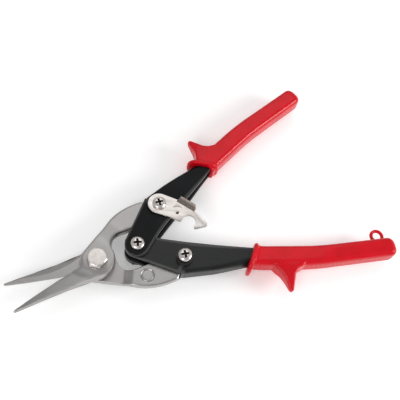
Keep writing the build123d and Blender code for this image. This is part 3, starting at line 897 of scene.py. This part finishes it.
def pan_screw(name, body, centre, bottom, head, cross_angle):
    """Pan head screw with a tapering cross recess; bottom and head are heights from the shear plane."""
    place = on_side(1)
    profile = [(SCREW_R, bottom), (SCREW_R, head)] + [(r, head + h) for r, h in PAN_HEAD]
    thing = turned(name, profile, centre, place)
    arms = []
    for turn in (0, 90):
        a = radians(cross_angle + turn)
        rows = []
        for half, wide, h in CROSS:
            rows.append([(centre.x + u * cos(a) - v * sin(a), centre.y + u * sin(a) + v * cos(a), head + h)
                         for u, v in ((half, wide), (-half, wide), (-half, -wide), (half, -wide))])
        arms.append(make("arm", *loops(rows), place))
    cut(thing, arms)
    bevel(thing, 0.10, 35)
    settle(thing, 38)
    show(thing, body, "bright_plate", name)
    # Faces that lie deeper than the head's own surface are the recess; they get the near-black copy of the
    # steel, painted shade.
    thing.data.materials.append(finishes["recess"])
    radii, heights = zip(*PAN_HEAD[::-1])
    for face in thing.data.polygons:
        x, y, z = face.center / MM
        surface = SHEAR_Z + head + float(np.interp(hypot(x - centre.x, y - centre.y), radii, heights))
        face.material_index = 1 if SHEAR_Z + head < z < surface - 0.10 else 0


lower_pin = Vector((PIN.x, -PIN.y, PIN.z))
pan_screw("hinge_screw", "upper_lever", HINGE, bottom=-11.2, head=7.6, cross_angle=-18)
pan_screw("latch_screw", "upper_lever", PIN, bottom=-11.2, head=10.0, cross_angle=-8)
pan_screw("lower_link_screw", "lower_lever", lower_pin, bottom=-9.1, head=10.1, cross_angle=-14)


def hex_bolt(name, body, bottom, under, top, across, shank_r):
    """Hexagon head bolt at the main pivot: the corners are turned off the head and its edges rounded."""
    place = on_side(1)
    corner = across / sqrt(3)
    hexagon = [[(corner * cos(radians(HEX_ANGLE + 60 * i)), corner * sin(radians(HEX_ANGLE + 60 * i)), z)
                for i in range(6)] for z in (under, top)]
    thing = make(name, *loops(hexagon), place)
    profile = [(corner - 1.1, under), (corner + 0.1, under + 0.55),
               (corner + 0.1, top - 0.75), (across / 2 - 0.25, top)]
    cut(thing, [turned("turning", profile, (0, 0), place, 96)], "INTERSECT")
    cut(thing, [turned("shank", [(shank_r, bottom), (shank_r, under + 0.3)], (0, 0), place)], "UNION")
    bevel(thing, 0.22, 25, 3)
    settle(thing, 32)
    show(thing, body, "bright_plate", name)


hex_bolt("pivot_bolt", "rear_jaw", bottom=-11.5, under=6.3, top=11.3, across=11.0, shank_r=3.0)


# ---- latch -------------------------------------------------------------------------------------------
LATCH_ANGLE = -56.4
LATCH_Z = (8.2, 9.9)
LATCH_HEAD_R = 7.0
LATCH_BORE_R = 2.55
LATCH_SLOT = (22.0, 0)
LATCH_SLOT_R = 4.15
LATCH_HOLE = (12.8, 0.9)
LATCH_HOLE_R = 1.1
LATCH_ARC_R = (4.7, 3.9)       # the coined arc's outer and inner radius from the hole
TAB_TOP = 13.1


def prism(name, outline, low, high, place):
    """A solid with the same outline at two heights."""
    return make(name, *loops([[(x, y, z) for x, y in outline] for z in (low, high)]), place)


def latch_outline():
    """The plate in plan, x from its screw to its hooked end."""
    points = arc((0, 0), LATCH_HEAD_R, 95, 280)
    points += [(12.5, -3.7), (16.6, -3.4), (17.85, -2.6)]
    points += arc(LATCH_SLOT, LATCH_SLOT_R, 0, 180)[::-1]
    points += [(26.2, -1.2), (26.9, -2.2), (28.0, -2.2), (32.6, 2.8), (32.9, 3.6), (32.7, 4.3), (31.6, 5.2)]
    return points + [(22.5, 8.9), (8.0, 8.6)]


def latch():
    """A stamped plate with a hook slot, a turned-up thumb tab, a hole and a short coined arc over it."""
    place = (on_side(1) @ Matrix.Translation((PIN.x, PIN.y, 0))
             @ Matrix.Rotation(radians(LATCH_ANGLE), 4, "Z"))
    thing = prism("latch", latch_outline(), *LATCH_Z, place)
    # The tab leans outward from its foot to its top.
    foot = [(8.2, 8.7), (21.7, 8.7), (21.7, 7.2), (8.2, 7.2)]
    lifted = [(9.5, 10.6), (20.0, 10.6), (20.0, 9.2), (9.5, 9.2)]
    rows = []
    for t, z in ((0.0, LATCH_Z[1] - 0.4), (0.35, TAB_TOP - 1.6), (1.0, TAB_TOP)):
        rows.append([(ax + (bx - ax) * t, ay + (by - ay) * t, z) for (ax, ay), (bx, by) in zip(foot, lifted)])
    cut(thing, [make("tab", *loops(rows), place)], "UNION")
    coin = [(LATCH_HOLE[0] + r * cos(radians(a)), LATCH_HOLE[1] + r * sin(radians(a)))
            for r, angles in zip(LATCH_ARC_R, (range(80, 156, 5), range(155, 79, -5))) for a in angles]
    cut(thing, [turned("hole", [(LATCH_BORE_R, 7), (LATCH_BORE_R, 12)], (0, 0), place),
                turned("hole", [(LATCH_HOLE_R, 7), (LATCH_HOLE_R, 12)], LATCH_HOLE, place),
                prism("coin", coin, LATCH_Z[1] - 0.55, LATCH_Z[1] + 1, place)])
    bevel(thing, 0.32, 30, 3)
    settle(thing, 35)
    show(thing, "latch_plate", "bright_plate", "latch")
    # Whatever stands above the plate is the tab, and it gets the darker, browner copy of the metal: painted
    # shade.
    thing.data.materials.append(finishes["latch_tab_shade"])
    plate_top = (SHEAR_Z + LATCH_Z[1] + 0.25) * MM
    for face in thing.data.polygons:
        face.material_index = 1 if face.center.z > plate_top else 0


latch()


# ---- return spring -----------------------------------------------------------------------------------
WIRE_R = 0.6
COIL_R = 5.0
COIL_HALF = 2.7                # the legs leave the coil this far above and below the shear plane
COIL_TURNS = 3
LEG_FOOT = (0, -5.0)           # a leg's ends in its handle's plane
LEG_TIP = (59.6, -6.35)


def spring_leg(side):
    """Points along the straight leg of one handle, from the coil outward."""
    foot, tip = (on_handle(side) @ Vector((*end, COIL_HALF)) for end in (LEG_FOOT, LEG_TIP))
    return [foot + (tip - foot) * t for t in np.linspace(0.02, 1, 24)]


def spring():
    """Round wire: a leg along the lower handle, the coil at the hinge, a leg along the upper handle."""
    turns = COIL_TURNS + (360 - 2 * (90 - OPEN_ANGLE)) / 360
    path = spring_leg(-1)[::-1]
    for t in np.linspace(0, 1, 180):
        a = radians(90 - OPEN_ANGLE) + 2 * pi * turns * t
        z = SHEAR_Z - COIL_HALF + 2 * COIL_HALF * t
        path.append(Vector((HINGE.x + COIL_R * cos(a), COIL_R * sin(a), z)) * MM)
    path += spring_leg(1)
    rows = []
    for i, p in enumerate(path):
        ahead = (path[min(i + 1, len(path) - 1)] - path[max(i - 1, 0)]).normalized()
        side = ahead.cross(Vector((0, 0, 1))).normalized()
        up = side.cross(ahead)
        rows.append([p + (side * cos(b) + up * sin(b)) * WIRE_R * MM
                     for b in np.linspace(0, 2 * pi, 13)[:-1]])
    thing = make("hinge_spring", *loops(rows), Matrix.Identity(4))
    settle(thing, 50)
    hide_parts("hinge_spring")
    thing.data.materials.clear()
    thing.data.materials.append(finishes["spring_wire"])
    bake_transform(thing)


spring()


# ---- pieces that keep their CAD shape, with rounded edges --------------------------------------------
for name in ("pivot_washer", "pivot_nut", "hinge_nut", "hinge_bush", "latch_screw_nut", "latch_washer",
             "upper_link_bush", "upper_front_spacer", "upper_rear_spacer", "lower_link_nut",
             "lower_link_bush", "lower_front_spacer", "lower_rear_spacer", "latch_post"):
    bevel(frame["nodes"][name], 0.18, 35, 3)


# ---- lights, floor and finish ------------------------------------------------------------------------
WORLD_LIGHT = 0.46
FLOOR_SIZE = 6.0
FLOOR_Z = -0.0002
LIGHT_AIM = (0.08, 0, 0)


def area_light(name, place, size, power):
    """A round light that faces the middle of the snips."""
    light = bpy.data.objects.new(name, bpy.data.lights.new(name, "AREA"))
    bpy.context.scene.collection.objects.link(light)
    light.data.shape = "DISK"
    light.data.size = size
    light.data.energy = power
    light.location = place
    light.rotation_mode = "QUATERNION"
    light.rotation_quaternion = (Vector(place) - Vector(LIGHT_AIM)).to_track_quat("Z", "Y")


area_light("sky", (0.40, 0.60, 0.95), size=1.0, power=1.9)
area_light("right", (0.80, -0.50, 0.45), size=0.45, power=5.0)
area_light("left", (-0.70, -0.45, 0.90), size=0.5, power=4.0)

world = bpy.data.worlds.new("world")
bpy.context.scene.world = world
world.use_nodes = True
background = world.node_tree.nodes["Background"]
background.inputs["Color"].default_value = (1, 1, 1, 1)
background.inputs["Strength"].default_value = WORLD_LIGHT
bpy.context.scene.view_settings.view_transform = "Standard"

bpy.ops.mesh.primitive_plane_add(size=FLOOR_SIZE, location=(0, 0, FLOOR_Z))
floor = bpy.context.object
floor.name = "floor"
floor.data.materials.append(floor_white())
